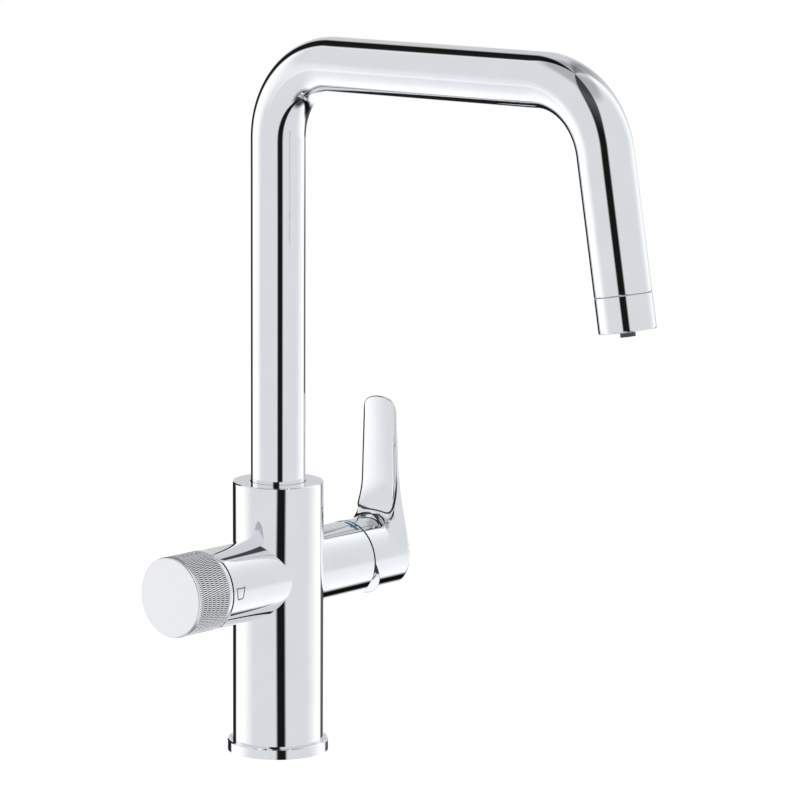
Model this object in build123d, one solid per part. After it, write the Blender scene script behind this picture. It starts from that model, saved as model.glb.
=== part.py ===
from build123d import *
import os
from math import acos, asin, atan, cos, degrees, radians, sin, sqrt, tan

os.makedirs("parts", exist_ok=True)

# A single-hole kitchen tap with a swivelling U spout, a mixing lever on the right
# and a filtered-water knob on the left. Millimetres and degrees. The origin is the
# centre of the base flange's underside, +Z up, the spout points along -Y.

# Fits
seat_gap = 0.05
running_gap = 0.1
free_gap = 0.3
overlap = 0.1

# Base flange and column
flange_radius = 26.1
flange_height = 5.5
flange_edge = 0.6
flange_bore_radius = 19.6
column_seat_depth = 1.5
column_radius = 23.4
column_above_cross = 48.6
column_edge = 0.5
gasket_radius = 24.0
gasket_width = 3.0
gasket_height = 2.0

# Hose block in the foot of the column
block_radius = 19.0
block_height = 18.4
clip_height = 1.1
clip_depth = 1.15
clip_opening = 40.0
clip_above_foot = 0.9
block_seal_from_top = 5.0
seal_groove_height = 2.6
hose_thread_radius = 4.46
hose_thread_depth = 15.0
hose_circle_radius = 10.5
hose_half_angle = 40.0
stud_thread_radius = 3.4
stud_thread_depth = 15.0
waterway_radius = 2.6
port_offset = 6.0

# Side barrels, on one cross axis
cross_height = 91.5
mixer_barrel_radius = 20.0
mixer_barrel_reach = 52.6
filter_barrel_radius = 20.4
filter_barrel_reach = 54.6
barrel_edge = 0.4

# Spout
tube_radius = 14.0
tube_wall = 1.5
spout_top = 354.2
spout_reach = 203.0
bend_radius = 38.5
leg_angle = 10.0
leg_length = 116.5
swivel_each_way = 75.0

# Spout socket in the column and the foot that turns in it
socket_depth = 24.0
plug_bore_radius = 12.1
plug_bore_depth = 16.0
tube_engagement = 16.0
foot_spigot_height = 12.0
thrust_washer_height = 1.0
bush_height = 6.0
bush_wall = 1.4
bush_below_rim = 4.0
bush_opening = 12.0
seal_cord_radius = 1.15
nipple_radius = 4.0
nipple_wall = 1.2
nipple_engagement = 10.0
nipple_rooting = 5.0
mixed_hole_radius = 1.6
mixed_hole_circle = 7.2
mixed_hole_count = 6
stop_screw_radius = 2.5
stop_tip_radius = 1.5
stop_slot_depth = 2.0
stop_screw_rise = 0.8
stop_screw_sunk = 0.6
lower_seal_rise = 4.5
upper_seal_rise = 10.5

# Outlet
outlet_length = 17.0
outlet_seam = 0.6
outlet_wall = 1.5
outlet_edge = 0.6
adapter_engagement = 9.0
adapter_thread_length = 8.0
adapter_wall = 2.4
outlet_thread_height = 0.6
outlet_lip = 0.9
seam_depth = 0.35
aerator_recess = 1.3
aerator_face_rise = 0.3
aerator_jet_radius = 0.8
aerator_jet_count = 18
filter_tube_radius = 4.0
filter_tube_wall = 1.0
nozzle_radius = 3.7
nozzle_stand_out = 2.5
nozzle_bore_radius = 2.3
nozzle_wall = 1.2
nozzle_from_seam = 1.0
nozzle_socket_depth = 6.0
nozzle_shoulder = 1.1

# Filter valve and knob
knob_seam = 0.4
knob_length = 24.4
knob_wall = 2.2
knob_rim = 0.6
knob_back_band = 1.9
knurl_ring_depth = 0.35
knurl_flute_depth = 0.5
knurl_teeth = 96
knurl_rings = 7
knob_cap_height = 3.4
knob_cap_brim = 1.3
knob_cap_inset = 0.25
knob_cap_edge = 0.6
knob_ledge_width = 1.5
knob_ledge_height = 2.0
knob_adapter_gap = 0.6
knob_adapter_wall = 3.2
knob_adapter_web = 3.0
knob_screw_radius = 1.2
knob_screw_hole_depth = 9.0
knob_screw_length = 8.0
screw_head_radius = 3.2
screw_head_height = 1.8
screw_slot_depth = 0.9
screw_slot_half_length = 2.0
screw_slot_half_width = 0.4
valve_thread_radius = 10.2
valve_depth = 38.6
valve_counterbore_radius = 17.0
valve_counterbore_depth = 16.6
valve_collar_width = 22.0
valve_collar_height = 5.0
valve_washer_height = 1.0
valve_neck_wall = 3.0
valve_neck_short = 1.5
filter_seal_height = 1.2
filter_seal_width = 2.2
filter_disc_radius = 7.6
filter_disc_height = 3.0
filter_port_circle = 4.2
filter_port_radius = 2.1
spindle_driver_height = 3.0
spindle_radius = 4.9
spline_radius = 4.0
spline_length = 14.0

# Mixer cartridge, lever and their motion
cartridge_radius = 17.5
cartridge_wall = 2.3
cartridge_depth = 31.6
cartridge_seal_height = 1.0
cartridge_base_height = 2.5
port_seal_width = 1.3
ceramic_height = 3.0
moving_disc_radius = 9.8
mixing_pocket_radius = 4.9
mixing_pocket_depth = 1.5
holder_height = 3.9
carrier_plate_height = 3.0
carrier_neck_radius = 10.8
carrier_past_pivot = 3.5
cartridge_cover_height = 3.8
cartridge_neck_radius = 13.0
cartridge_neck_height = 3.0
pivot_from_barrel_end = 4.6
pivot_pin_radius = 1.5
stem_arm = 14.5
stem_width = 7.0
stem_height = 8.0
stem_arm_height = 4.0
stem_ball_radius = 2.6
stem_ball_gap = 0.2
stem_heel = 4.0
stem_from_end = 5.0
dome_radius = 17.2
dome_wall = 1.2
dome_hole_radius = 10.5
lever_seam = 0.6
lever_wall = 2.4
hub_length = 27.7
hub_edge = 1.2
lever_lift = 20.0
lever_relief_angle = 22.0
blade_top = 174.8
blade_half_width = 12.9
blade_top_half_width = 11.3
blade_shoulder = 4.4
blade_corner = 3.0
blade_thickness = 2.9
blade_crown_radius = 60.0
blade_crown_low = 3.6
blade_crown_top = 0.2
blade_face_bottom = 112.0
blade_curl_start = 134.0
blade_curl_depth = 4.6
blade_hub_blend = 160.0
blade_panel_step = 1.1
blade_lip_arch = 1.4
blade_lip_corner = 2.6
blade_notch_half_width = 10.5
blade_notch_depth = 6.0
back_edge_zone = 1.2
socket_end_gap = 0.6
set_screw_radius = 2.5
set_screw_length = 9.0
set_screw_from_end = 10.5
screw_plug_sunk = 0.4
screw_plug_gap = 0.2
hex_key_half_width = 1.25
hex_key_depth = 2.5

# Sizes worked out from the ones above
column_foot = flange_height - column_seat_depth
column_top = cross_height + column_above_cross
block_foot = column_foot + clip_above_foot + clip_height
block_top = block_foot + block_height
socket_floor = column_top - socket_depth
plug_floor = socket_floor - plug_bore_depth
tube_foot = column_top - tube_engagement
tube_bore_radius = tube_radius - tube_wall
valve_floor = filter_barrel_reach - valve_depth
valve_counterbore_floor = filter_barrel_reach - valve_counterbore_depth
knob_back = filter_barrel_reach + knob_seam
knob_face = knob_back + knob_length
knob_radius = filter_barrel_radius
cartridge_floor = mixer_barrel_reach - cartridge_depth
lever_back = mixer_barrel_reach + lever_seam
lever_end = lever_back + hub_length
pivot_x = mixer_barrel_reach - pivot_from_barrel_end


def rod_z(radius, low, high, x=0.0, y=0.0):
    """Solid round bar along Z."""
    return Pos(x, y, (low + high) / 2) * Cylinder(radius, high - low)


def rod_x(radius, low, high, y=0.0, z=cross_height):
    """Solid round bar along X, on the cross axis unless y and z say otherwise."""
    return Pos((low + high) / 2, y, z) * Rot(0, 90, 0) * Cylinder(radius, high - low)


def rod_y(radius, low, high, x=0.0, z=0.0):
    """Solid round bar along Y."""
    return Pos(x, (low + high) / 2, z) * Rot(90, 0, 0) * Cylinder(radius, high - low)


def ring_z(outer, inner, low, high):
    return rod_z(outer, low, high) - rod_z(inner, low - 1, high + 1)


def ring_x(outer, inner, low, high, y=0.0, z=cross_height):
    return rod_x(outer, low, high, y, z) - rod_x(inner, low - 1, high + 1, y, z)


def block(x0, x1, y0, y1, z0, z1):
    return Pos((x0 + x1) / 2, (y0 + y1) / 2, (z0 + z1) / 2) * Box(x1 - x0, y1 - y0, z1 - z0)


def cord_ring(outer_radius, cord_radius):
    """O-ring about Z, given by the radius that it reaches."""
    return Torus(outer_radius - cord_radius, cord_radius)


def polar(radius, angle):
    return radius * cos(radians(angle)), radius * sin(radians(angle))


def save(shape, node):
    shape.label = node
    export_step(shape, f"parts/{node}.step")


# Base flange: a plain ring with a recess that the column drops into
flange = rod_z(flange_radius, 0, flange_height)
flange = chamfer(flange.edges().group_by(Axis.Z)[-1], flange_edge)
flange -= rod_z(flange_bore_radius, -1, flange_height + 1)
flange -= rod_z(column_radius + seat_gap, column_foot, flange_height + 1)
flange -= ring_z(
    gasket_radius + seat_gap, gasket_radius - gasket_width - seat_gap, -1, gasket_height
)
save(flange, "base_flange")

gasket = ring_z(gasket_radius, gasket_radius - gasket_width, 0, gasket_height)
save(gasket, "base_gasket")

# Waterways inside the casting, drilled up from the hose block
hot_x, hot_y = polar(hose_circle_radius, -hose_half_angle)
cold_x, cold_y = polar(hose_circle_radius, hose_half_angle)
filter_x = -hose_circle_radius
port_height = cross_height - port_offset
outlet_port_height = cross_height + port_offset
nipple_foot = plug_floor - nipple_rooting


def waterways():
    ways = Part()
    for x, y in ((hot_x, hot_y), (cold_x, cold_y)):
        ways += rod_z(waterway_radius, block_top - 1, port_height, x, y)
        ways += rod_x(waterway_radius, x, cartridge_floor + 1, y, port_height)
    ways += rod_z(waterway_radius, block_top - 1, port_height, filter_x)
    ways += rod_x(waterway_radius, -valve_floor - 1, filter_x + waterway_radius, 0, port_height)
    ways += rod_x(waterway_radius, -valve_floor - 1, 0)
    ways += rod_z(waterway_radius, cross_height, nipple_foot + 1)
    mixed_x = (plug_bore_radius + nipple_radius) / 2
    ways += rod_x(waterway_radius, mixed_x, cartridge_floor + 1, 0, outlet_port_height)
    ways += rod_z(waterway_radius, outlet_port_height, plug_floor + 1, mixed_x)
    return ways


# Column casting with its two side barrels
def main_body():
    body = rod_z(column_radius, column_foot, column_top)
    body = chamfer(body.edges().group_by(Axis.Z)[-1], column_edge)
    right = rod_x(mixer_barrel_radius, 0, mixer_barrel_reach)
    body += chamfer(right.edges().group_by(Axis.X)[-1], barrel_edge)
    left = rod_x(filter_barrel_radius, -filter_barrel_reach, 0)
    body += chamfer(left.edges().group_by(Axis.X)[0], barrel_edge)
    # foot: bore for the hose block and groove for its clip
    body -= rod_z(block_radius, column_foot - 1, block_top)
    clip_foot = block_foot - clip_height
    body -= rod_z(block_radius + clip_depth + seat_gap, clip_foot - seat_gap, block_foot)
    # top: stepped socket for the spout foot, with a groove for the upper bush
    body -= rod_z(tube_radius + free_gap, socket_floor, column_top + 1)
    body -= rod_z(plug_bore_radius, plug_floor, socket_floor + 1)
    bush_top = column_top - bush_below_rim
    body -= rod_z(
        tube_radius + running_gap + bush_wall + seat_gap,
        bush_top - bush_height - seat_gap,
        bush_top + seat_gap,
    )
    body -= rod_z(nipple_radius, nipple_foot, plug_floor + 1)
    body -= rod_y(stop_screw_radius, tube_radius, column_radius + 1, 0, stop_height)
    # right: bore for the mixer cartridge
    body -= rod_x(cartridge_radius + running_gap, cartridge_floor, mixer_barrel_reach + 1)
    # left: threaded bore and counterbore for the filter valve
    body -= rod_x(valve_thread_radius, -valve_counterbore_floor - 1, -valve_floor)
    body -= rod_x(valve_counterbore_radius, -filter_barrel_reach - 1, -valve_counterbore_floor)
    return body - waterways()


stop_height = socket_floor + thrust_washer_height + stop_screw_radius + stop_screw_rise
save(main_body(), "main_body")


block_seal_height = block_top - block_seal_from_top


# Hose block: a brass plug with three hose sockets and the fixing stud's socket
def hose_block():
    plug = rod_z(block_radius - seat_gap, block_foot, block_top)
    plug -= ring_z(
        block_radius + 1,
        block_radius - seat_gap - 2 * seal_cord_radius,
        block_seal_height - seal_groove_height / 2,
        block_seal_height + seal_groove_height / 2,
    )
    for x, y in ((hot_x, hot_y), (cold_x, cold_y), (filter_x, 0)):
        plug -= rod_z(hose_thread_radius, block_foot - 1, block_foot + hose_thread_depth, x, y)
        plug -= rod_z(waterway_radius, block_foot, block_top + 1, x, y)
    plug -= rod_z(stud_thread_radius, block_foot - 1, block_foot + stud_thread_depth)
    return plug


save(hose_block(), "hose_block")
save(
    Pos(0, 0, block_seal_height) * cord_ring(block_radius - seat_gap, seal_cord_radius),
    "hose_block_seal",
)

# Circlip under the hose block, open at the front
clip = ring_z(
    block_radius + clip_depth, block_radius - clip_depth, block_foot - clip_height, block_foot
)
clip_gap = 2 * (block_radius + clip_depth) * sin(radians(clip_opening / 2))
clip -= block(-clip_gap / 2, clip_gap / 2, -column_radius, 0, 0, block_foot + 1)
save(clip, "hose_block_circlip")

# Swivel bearing of the spout
bush_top = column_top - bush_below_rim
bush = ring_z(
    tube_radius + running_gap + bush_wall,
    tube_radius + running_gap,
    bush_top - bush_height,
    bush_top,
)
bush_gap = 2 * tube_radius * sin(radians(bush_opening / 2))
bush -= block(-bush_gap / 2, bush_gap / 2, 0, column_radius, 0, column_top)
save(bush, "spout_upper_bush")

washer = ring_z(
    tube_radius + seat_gap,
    plug_bore_radius + seat_gap,
    socket_floor,
    socket_floor + thrust_washer_height,
)
save(washer, "spout_thrust_washer")

# Grub screw behind the column: its tip runs in the foot's slot and stops the swivel
slot_radius = tube_radius - stop_slot_depth
screw_start = slot_radius + free_gap
shank_start = tube_radius + free_gap
screw_end = column_radius - stop_screw_sunk
stop_screw = rod_y(stop_tip_radius, screw_start, shank_start + 1, 0, stop_height)
stop_screw += rod_y(
    stop_screw_radius - seat_gap, shank_start + running_gap, screw_end, 0, stop_height
)
hex_key = extrude(
    RegularPolygon(hex_key_half_width, 6, major_radius=False), amount=hex_key_depth
)
stop_screw -= Pos(0, screw_end, stop_height) * Rot(90, 0, 0) * hex_key
save(stop_screw, "swivel_stop_screw")

# Filtered-water nipple: passes the clean water into the turning foot
nipple_top = plug_floor + nipple_engagement
nipple = ring_z(nipple_radius, nipple_radius - nipple_wall, nipple_foot, nipple_top)
save(nipple, "filtered_water_nipple")


# Spout foot: turned brass, brazed into the tube, with seal grooves and the stop slot
seal_heights = (plug_floor + lower_seal_rise, plug_floor + upper_seal_rise)
washer_top = socket_floor + thrust_washer_height
foot_top = tube_foot + foot_spigot_height


def spout_foot():
    plug_radius = plug_bore_radius - running_gap
    foot = rod_z(plug_radius, plug_floor + free_gap, washer_top)
    foot += rod_z(tube_radius, washer_top + running_gap / 2, tube_foot)
    foot += rod_z(plug_radius, washer_top - overlap, tube_foot)
    foot += rod_z(tube_bore_radius - seat_gap, tube_foot - overlap, foot_top)
    for height in seal_heights:
        foot -= ring_z(
            plug_radius + 1,
            plug_radius - 2 * seal_cord_radius,
            height - seal_groove_height / 2,
            height + seal_groove_height / 2,
        )
    # slot: a ring sector behind, as wide as the screw tip, as long as the swivel
    end_angle = degrees(asin((stop_tip_radius + free_gap) / slot_radius))
    half_span = swivel_each_way + end_angle
    slot = ring_z(
        tube_radius + 1,
        slot_radius,
        stop_height - stop_tip_radius - free_gap,
        stop_height + stop_tip_radius + free_gap,
    )
    reach = 2 * column_radius
    left_x, left_y = polar(reach, 90 + half_span)
    right_x, right_y = polar(reach, 90 - half_span)
    keep = Polyline(
        (0, 0), (right_x, right_y), (reach, reach), (-reach, reach), (left_x, left_y), (0, 0)
    )
    foot -= slot & extrude(make_face(keep), amount=column_top)
    foot -= rod_z(nipple_radius + running_gap, plug_floor - 1, nipple_top + 1)
    foot -= rod_z(filter_tube_radius + seat_gap, nipple_top, foot_top + 1)
    for index in range(mixed_hole_count):
        x, y = polar(mixed_hole_circle, 360 * (index + 0.5) / mixed_hole_count)
        foot -= rod_z(mixed_hole_radius, plug_floor - 1, foot_top + 1, x, y)
    return foot


save(spout_foot(), "spout_foot")

seal_reach = plug_bore_radius - seat_gap
spout_seals = [
    Pos(0, 0, height) * cord_ring(seal_reach, seal_cord_radius) for height in seal_heights
]
save(Compound(children=spout_seals), "spout_seals")

# Spout tube: straight riser, bend, level arm, bend, leg that leans out
lean = radians(leg_angle)
corner = Vector(0, -spout_reach, spout_top)
leg_direction = Vector(0, -sin(lean), -cos(lean))
leg_plane = Plane(origin=corner, x_dir=(1, 0, 0), z_dir=leg_direction)


def along_leg(shape, distance):
    """Places a shape built on Z at a distance down the leg from its corner."""
    return leg_plane.location * Pos(0, 0, distance) * shape


def leg_rod(radius, start, end):
    return along_leg(Cylinder(radius, end - start), (start + end) / 2)


def leg_ring(outer, inner, start, end):
    return leg_rod(outer, start, end) - leg_rod(inner, start - 1, end + 1)


def spout_line(foot, leg_end):
    return FilletPolyline(
        (0, 0, foot),
        (0, 0, spout_top),
        corner,
        corner + leg_direction * leg_end,
        radius=bend_radius,
    )


def bent_pipe(outer, inner, foot, leg_end):
    """Round pipe swept along the spout's centreline."""
    line = spout_line(foot, leg_end)
    section = Plane(origin=(0, 0, foot), z_dir=(0, 0, 1))
    return sweep(section * (Circle(outer) - Circle(inner)), path=line)


housing_start = leg_length - outlet_length
tube_end = housing_start - outlet_seam
save(bent_pipe(tube_radius, tube_bore_radius, tube_foot, tube_end), "spout_tube")

# Inner pipe that keeps the filtered water apart from the mixed water
nozzle_start = housing_start + nozzle_from_seam
filter_pipe_end = nozzle_start + nozzle_socket_depth
filtered_pipe = bent_pipe(
    filter_tube_radius, filter_tube_radius - filter_tube_wall, nipple_top + 1, filter_pipe_end
)
save(filtered_pipe, "filtered_water_pipe")

# Outlet: threaded adapter, seam washer, housing, aerator and filtered-water nozzle
adapter_bore_radius = tube_bore_radius - adapter_wall
thread_radius = tube_radius - outlet_wall - outlet_thread_height
adapter = leg_ring(
    tube_bore_radius - seat_gap,
    adapter_bore_radius,
    tube_end - adapter_engagement,
    tube_end,
)
adapter += leg_ring(
    thread_radius, adapter_bore_radius, tube_end - 1, housing_start + adapter_thread_length
)
save(adapter, "outlet_adapter")

seam_washer = leg_ring(
    tube_radius - seam_depth, thread_radius + seat_gap, tube_end, housing_start
)
save(seam_washer, "outlet_seam_washer")

aerator_radius = tube_radius - outlet_wall
aerator_start = housing_start + adapter_thread_length + free_gap
aerator_end = leg_length - aerator_recess
lip_radius = aerator_radius - outlet_lip


def outlet_housing():
    shell = leg_rod(tube_radius, housing_start, leg_length)
    shell = fillet(shell.edges().sort_by(Axis.Z)[0], outlet_edge)
    shell -= leg_rod(thread_radius + seat_gap, housing_start - 1, aerator_start)
    shell -= leg_rod(aerator_radius, aerator_start - overlap, aerator_end)
    shell -= leg_rod(lip_radius, aerator_end - 1, leg_length + 1)
    return shell


save(outlet_housing(), "outlet_housing")

nozzle_seat_radius = filter_tube_radius + nozzle_wall
aerator_face = aerator_end + aerator_face_rise


def aerator():
    disc = leg_ring(
        aerator_radius - seat_gap, nozzle_seat_radius + seat_gap, aerator_start, aerator_end
    )
    disc += leg_ring(
        lip_radius - running_gap, nozzle_radius + seat_gap, aerator_end - 1, aerator_face
    )
    jet_circle = (lip_radius + nozzle_seat_radius) / 2
    for index in range(aerator_jet_count):
        x, y = polar(jet_circle, 360 * index / aerator_jet_count)
        jet = Pos(x, y, 0) * Cylinder(aerator_jet_radius, 2 * outlet_length)
        disc -= along_leg(jet, aerator_end)
    return disc


save(aerator(), "aerator_insert")

shoulder_end = aerator_end - nozzle_shoulder
nozzle = leg_rod(nozzle_seat_radius, nozzle_start, shoulder_end)
nozzle += leg_rod(nozzle_radius, shoulder_end - overlap, leg_length + nozzle_stand_out)
nozzle -= leg_rod(filter_tube_radius + seat_gap, nozzle_start - 1, filter_pipe_end)
nozzle -= leg_rod(nozzle_bore_radius, filter_pipe_end - 1, leg_length + nozzle_stand_out + 1)
save(nozzle, "filtered_water_nozzle")

# Filter valve: a brass head with ceramic discs, screwed into the left barrel
washer_outer = valve_collar_width / 2
valve_washer = ring_x(
    washer_outer,
    valve_thread_radius + seat_gap,
    -valve_counterbore_floor - valve_washer_height,
    -valve_counterbore_floor,
)
save(valve_washer, "filter_valve_washer")

filter_seat_end = valve_floor + filter_seal_height
fixed_disc_end = filter_seat_end + filter_disc_height
turning_disc_start = fixed_disc_end + running_gap
turning_disc_end = turning_disc_start + filter_disc_height
driver_end = turning_disc_end + spindle_driver_height
collar_start = valve_counterbore_floor + valve_washer_height
collar_end = collar_start + valve_collar_height
valve_neck_end = knob_back - valve_neck_short
spindle_end = valve_neck_end + spline_length


def filter_valve_head():
    head = rod_x(valve_thread_radius - seat_gap, -collar_start, -filter_seat_end)
    hexagon = extrude(
        RegularPolygon(valve_collar_width / 2, 6, major_radius=False), amount=valve_collar_height
    )
    head += Pos(-collar_start, 0, cross_height) * Rot(0, -90, 0) * hexagon
    head += rod_x(spindle_radius + valve_neck_wall, -valve_neck_end, -collar_start)
    head -= rod_x(filter_disc_radius + free_gap, -driver_end - free_gap, -valve_floor)
    head -= rod_x(spindle_radius + running_gap, -valve_neck_end - 1, -driver_end)
    return head


save(filter_valve_head(), "filter_valve_head")

seat_seal = ring_x(
    filter_disc_radius, filter_disc_radius - filter_seal_width, -filter_seat_end, -valve_floor
)
save(seat_seal, "filter_valve_seat_seal")


def ported_disc(radius, start, end, port_angle):
    """Ceramic disc with two round ports."""
    disc = rod_x(radius, -end, -start)
    for side in (0, 180):
        y, z = polar(filter_port_circle, port_angle + side)
        disc -= rod_x(filter_port_radius, -end - 1, -start + 1, y, cross_height + z)
    return disc


save(
    ported_disc(filter_disc_radius + free_gap - running_gap, filter_seat_end, fixed_disc_end, 90),
    "filter_fixed_disc",
)
save(
    ported_disc(filter_disc_radius, turning_disc_start, turning_disc_end, 0),
    "filter_turning_disc",
)

spindle = rod_x(filter_disc_radius, -driver_end, -turning_disc_end)
spindle += rod_x(spindle_radius, -valve_neck_end, -turning_disc_end)
spindle += rod_x(spline_radius, -spindle_end, -valve_neck_end)
spindle -= rod_x(
    knob_screw_radius + seat_gap, -spindle_end - 1, -spindle_end + knob_screw_hole_depth
)
save(spindle, "filter_valve_spindle")


# Knob: knurled sleeve, face cap and the adapter that grips the spindle
def star_wire(x, tip_radius, root_radius):
    """Closed zigzag of knurl tips and roots in the plane at x."""
    points = []
    for index in range(2 * knurl_teeth):
        radius = tip_radius if index % 2 == 0 else root_radius
        y, z = polar(radius, 180 * index / knurl_teeth)
        points.append((x, y, cross_height + z))
    return Polyline(*points, close=True)


def knurled_band(start, end):
    """Rings of tips and roots, so that flutes and rings cross."""
    sections = []
    for step in range(2 * knurl_rings + 1):
        x = -(start + (end - start) * step / (2 * knurl_rings))
        low_ring = step % 2 == 0
        shrink = 1 - knurl_ring_depth / knob_radius if low_ring else 1
        root = knob_radius - knurl_flute_depth
        sections.append(star_wire(x, shrink * knob_radius, shrink * root))
    return Solid.make_loft([section.wire() for section in sections], ruled=True)


def knob_sleeve():
    band_start = knob_back + knob_back_band
    band_end = brim_back - seat_gap - knob_rim
    rear = rod_x(knob_radius, -band_start, -knob_back)
    rear = chamfer(rear.edges().group_by(Axis.X)[-1], barrel_edge)
    front = rod_x(knob_radius - knob_cap_inset, -brim_back + seat_gap, -band_end)
    sleeve = rear + front + Part(knurled_band(band_start, band_end).wrapped)
    bore_radius = knob_radius - knob_wall
    sleeve -= rod_x(bore_radius, -knob_face - 1, -knob_back + 1)
    sleeve += ring_x(
        bore_radius + knob_wall / 2, bore_radius - knob_ledge_width, -ledge_front, -ledge_back
    )
    return sleeve


cap_back = knob_face - knob_cap_height
brim_back = knob_face - knob_cap_brim
ledge_front = cap_back - seat_gap
ledge_back = ledge_front - knob_ledge_height
save(knob_sleeve(), "knob_sleeve")

cap_radius = knob_radius - knob_wall - seat_gap
knob_cap = rod_x(knob_radius - knob_cap_inset, -knob_face, -brim_back)
knob_cap = fillet(knob_cap.edges().group_by(Axis.X)[0], knob_cap_edge)
knob_cap += rod_x(cap_radius, -brim_back - overlap, -cap_back)
save(knob_cap, "knob_cap")

adapter_back = valve_neck_end + knob_adapter_gap
adapter_web_end = ledge_back - seat_gap
adapter_front = adapter_web_end - knob_adapter_web


def knob_adapter():
    core = rod_x(spline_radius + knob_adapter_wall, -adapter_web_end, -adapter_back)
    core += rod_x(cap_radius, -adapter_web_end, -adapter_front)
    core -= rod_x(spline_radius + seat_gap, -spindle_end - seat_gap, -adapter_back + 1)
    core -= rod_x(knob_screw_radius + free_gap, -adapter_web_end - 1, -spindle_end + 1)
    return core


save(knob_adapter(), "knob_adapter")

screw_head_end = adapter_web_end + screw_head_height
knob_screw = rod_x(screw_head_radius, -screw_head_end, -adapter_web_end)
knob_screw += rod_x(
    knob_screw_radius, -adapter_web_end - overlap, -spindle_end + knob_screw_length
)
cross_slot = block(
    -screw_head_end - 1,
    -screw_head_end + screw_slot_depth,
    -screw_slot_half_length,
    screw_slot_half_length,
    -screw_slot_half_width,
    screw_slot_half_width,
)
for turn in (0, 90):
    knob_screw -= Pos(0, 0, cross_height) * Rot(turn, 0, 0) * cross_slot
save(knob_screw, "knob_screw")

# Mixer cartridge, from the floor of its bore outwards
seal_end = cartridge_floor + cartridge_seal_height
base_end = seal_end + cartridge_base_height
fixed_end = base_end + ceramic_height
moving_start = fixed_end + running_gap
moving_end = moving_start + ceramic_height
holder_start = moving_end + seat_gap
holder_end = holder_start + holder_height
plate_start = holder_end + free_gap
plate_end = plate_start + carrier_plate_height
cover_start = plate_end + free_gap
cover_end = cover_start + cartridge_cover_height
neck_end = cover_end + cartridge_neck_height
cartridge_ports = ((hot_y, port_height), (cold_y, port_height), (0, outlet_port_height))
cartridge_bore = cartridge_radius - cartridge_wall

port_seals = [
    ring_x(waterway_radius + port_seal_width, waterway_radius, cartridge_floor, seal_end, y, z)
    for y, z in cartridge_ports
]
save(Compound(children=port_seals), "cartridge_port_seals")


def cut_ports(shape, start, end):
    for y, z in cartridge_ports:
        shape -= rod_x(waterway_radius, start - 1, end + 1, y, z)
    return shape


def cartridge_housing():
    shell = rod_x(cartridge_radius, seal_end, cover_start)
    shell -= rod_x(cartridge_bore, base_end, cover_start + 1)
    shell += ring_x(cartridge_radius, carrier_neck_radius + running_gap, cover_start, cover_end)
    shell += ring_x(
        cartridge_neck_radius, carrier_neck_radius + running_gap, cover_end - overlap, neck_end
    )
    return cut_ports(shell, seal_end, base_end)


save(cartridge_housing(), "cartridge_housing")
fixed_disc = rod_x(cartridge_bore - seat_gap, base_end, fixed_end)
save(cut_ports(fixed_disc, base_end, fixed_end), "cartridge_fixed_disc")

# The lever's lift slides this disc; it rests half a stroke below the axis
stroke = stem_arm * sin(radians(lever_lift))
disc_height = cross_height - stroke / 2
moving_disc = rod_x(moving_disc_radius, moving_start, moving_end, 0, disc_height)
moving_disc -= rod_x(
    mixing_pocket_radius, moving_start - 1, moving_start + mixing_pocket_depth, 0, disc_height
)
save(moving_disc, "cartridge_moving_disc")

holder = rod_x(moving_disc_radius, holder_start, holder_end, 0, disc_height)
pocket_half_width = stem_width / 2 + stem_ball_gap
pocket_half_height = stem_ball_radius + stem_ball_gap
holder -= block(
    holder_start - 1,
    holder_end + 1,
    -pocket_half_width,
    pocket_half_width,
    cross_height - pocket_half_height,
    cross_height + pocket_half_height,
)
save(holder, "moving_disc_holder")


def slot_sides():
    """Half-heights of the carrier's slot below and above the axis."""
    lift = radians(lever_lift)
    half_bar = stem_height / 2
    below = half_bar * cos(lift) + (carrier_past_pivot + half_bar * sin(lift)) * tan(lift)
    above = stroke + stem_ball_radius
    return below + free_gap, above + 2 * free_gap


carrier_end = pivot_x + carrier_past_pivot


def mixer_carrier():
    plate_radius = cartridge_bore - free_gap
    turner = rod_x(plate_radius, plate_start, plate_end)
    turner += rod_x(carrier_neck_radius, plate_end - overlap, carrier_end)
    rails = rod_x(plate_radius, holder_start, plate_start + overlap)
    guide = moving_disc_radius + free_gap
    rails -= block(
        holder_start - 1,
        plate_start + 1,
        -guide,
        guide,
        cross_height - cartridge_radius,
        cross_height + cartridge_radius,
    )
    turner += rails
    below, above = slot_sides()
    side = stem_width / 2 + free_gap
    turner -= block(
        plate_start - 1, carrier_end + 1, -side, side, cross_height - below, cross_height + above
    )
    turner -= rod_y(
        pivot_pin_radius,
        -carrier_neck_radius - 1,
        carrier_neck_radius + 1,
        pivot_x,
        cross_height,
    )
    return turner


save(mixer_carrier(), "mixer_carrier")
pin_half = sqrt(carrier_neck_radius**2 - pivot_pin_radius**2) - free_gap
save(rod_y(pivot_pin_radius, -pin_half, pin_half, pivot_x, cross_height), "lever_pivot_pin")

nut_bore = cartridge_neck_radius + seat_gap
cartridge_nut = ring_x(cartridge_radius, nut_bore, cover_end, pivot_x)
save(cartridge_nut, "cartridge_nut")


def dome_arc(radius, angle):
    """Point of the dome's section, in the side view from the pivot."""
    return radius * sin(radians(angle)), radius * cos(radians(angle))


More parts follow.
